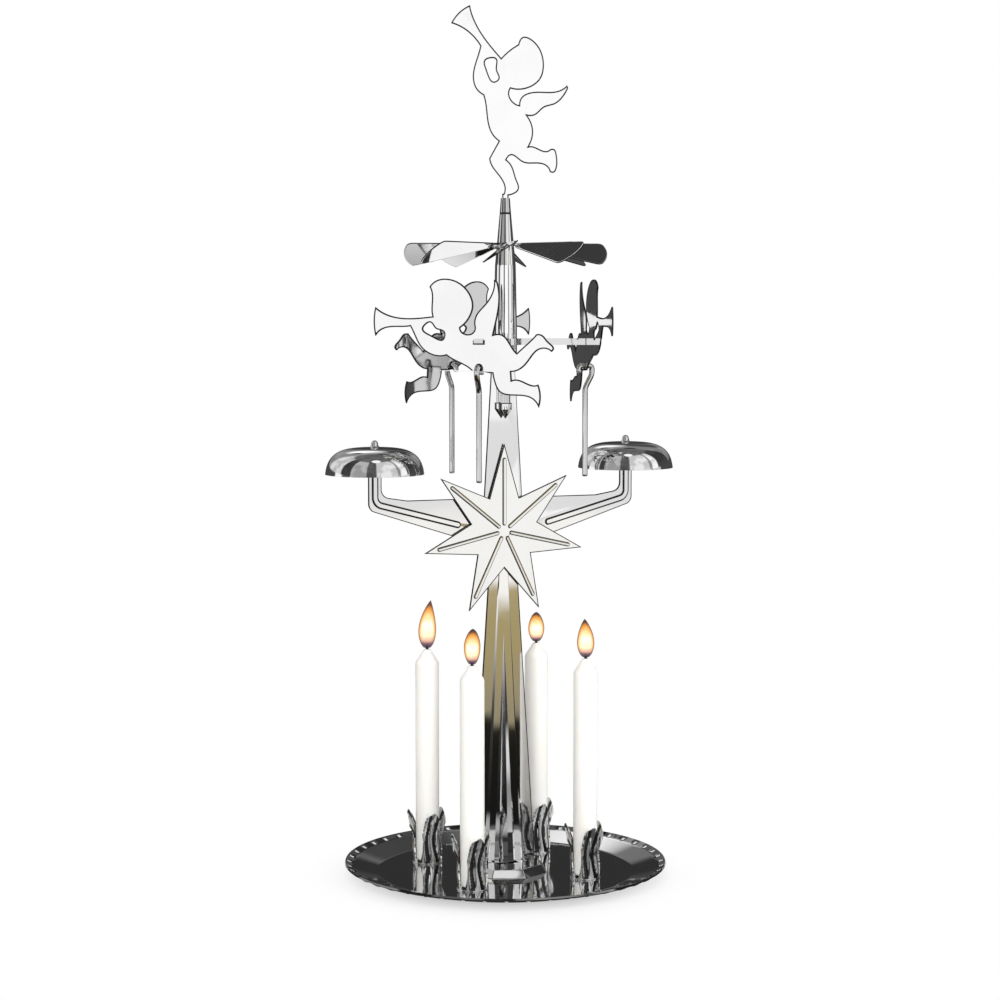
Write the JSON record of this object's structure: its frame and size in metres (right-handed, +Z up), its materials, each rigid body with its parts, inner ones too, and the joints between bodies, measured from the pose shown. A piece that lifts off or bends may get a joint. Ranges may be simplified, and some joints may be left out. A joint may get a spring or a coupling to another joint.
{
  "type": "angel chime carousel",
  "caption": "Candle-driven angel chime: round tray with petal candle clips, stamped post with star and bells, and a turbine rotor whose angels trail striker rods.",
  "frame": {"origin": "on the table under the centre of the tray", "axes": "+Z up along the spindle, +X along the right bell arm, -Y the side the star faces"},
  "size_m": [0.1268, 0.1104, 0.2968],
  "materials": {
    "chrome": "polished plated sheet with faint rubbing",
    "candle_wax": "smooth white wax",
    "wick": "charred cotton"
  },
  "bodies": {
    "stand": {"tray": "chrome", "base_collar": "chrome", "post": "chrome", "star": "chrome", "spindle_pin": "chrome", "holder_rivets": "chrome", "candle_holder_1": "chrome", "candle_holder_2": "chrome", "candle_holder_3": "chrome", "candle_holder_4": "chrome"},
    "rotor": {"rotor_tube": "chrome", "pivot_cup": "chrome", "top_socket": "chrome", "turbine_wheel": "chrome", "angel_carrier": "chrome", "angel_1": "chrome", "angel_2": "chrome", "angel_3": "chrome", "top_angel": "chrome"},
    "bell_left": {"bell_left": "chrome"},
    "bell_right": {"bell_right": "chrome"},
    "striker_1": {"striker_rod_1": "chrome"},
    "striker_2": {"striker_rod_2": "chrome"},
    "striker_3": {"striker_rod_3": "chrome"},
    "candle_1": {"candle_1": "candle_wax", "wick_1": "wick"},
    "candle_2": {"candle_2": "candle_wax", "wick_2": "wick"},
    "candle_3": {"candle_3": "candle_wax", "wick_3": "wick"},
    "candle_4": {"candle_4": "candle_wax", "wick_4": "wick"}
  },
  "joints": [
    {"name": "rotor_spin", "type": "hinge", "parent": "stand", "child": "rotor", "pos_m": [0, 0, 0.226], "axis": [0, 0, -1], "continuous": true},
    {"name": "striker_swing_1", "type": "hinge", "parent": "rotor", "child": "striker_1", "pos_m": [-0.01837, -0.02113, 0.1755], "axis": [-0.6561, -0.7547, 0], "range_deg": [-12, 12]},
    {"name": "striker_swing_2", "type": "hinge", "parent": "rotor", "child": "striker_2", "pos_m": [0.02749, -0.00534, 0.1755], "axis": [0.9816, -0.1908, 0], "range_deg": [-12, 12]},
    {"name": "striker_swing_3", "type": "hinge", "parent": "rotor", "child": "striker_3", "pos_m": [-0.00912, 0.02647, 0.1755], "axis": [-0.3256, 0.9455, 0], "range_deg": [-12, 12]},
    {"name": "bell_left_spin", "type": "hinge", "parent": "stand", "child": "bell_left", "pos_m": [-0.0466, 0.0021, 0.1475], "axis": [0, 0, 1], "continuous": true},
    {"name": "bell_right_spin", "type": "hinge", "parent": "stand", "child": "bell_right", "pos_m": [0.0466, 0.0021, 0.1475], "axis": [0, 0, 1], "continuous": true},
    {"name": "candle_lift_1", "type": "slide", "parent": "stand", "child": "candle_1", "axis": [0, 0, 1], "range_m": [0, 0.02]},
    {"name": "candle_lift_2", "type": "slide", "parent": "stand", "child": "candle_2", "axis": [0, 0, 1], "range_m": [0, 0.02]},
    {"name": "candle_lift_3", "type": "slide", "parent": "stand", "child": "candle_3", "axis": [0, 0, 1], "range_m": [0, 0.02]},
    {"name": "candle_lift_4", "type": "slide", "parent": "stand", "child": "candle_4", "axis": [0, 0, 1], "range_m": [0, 0.02]}
  ]
}
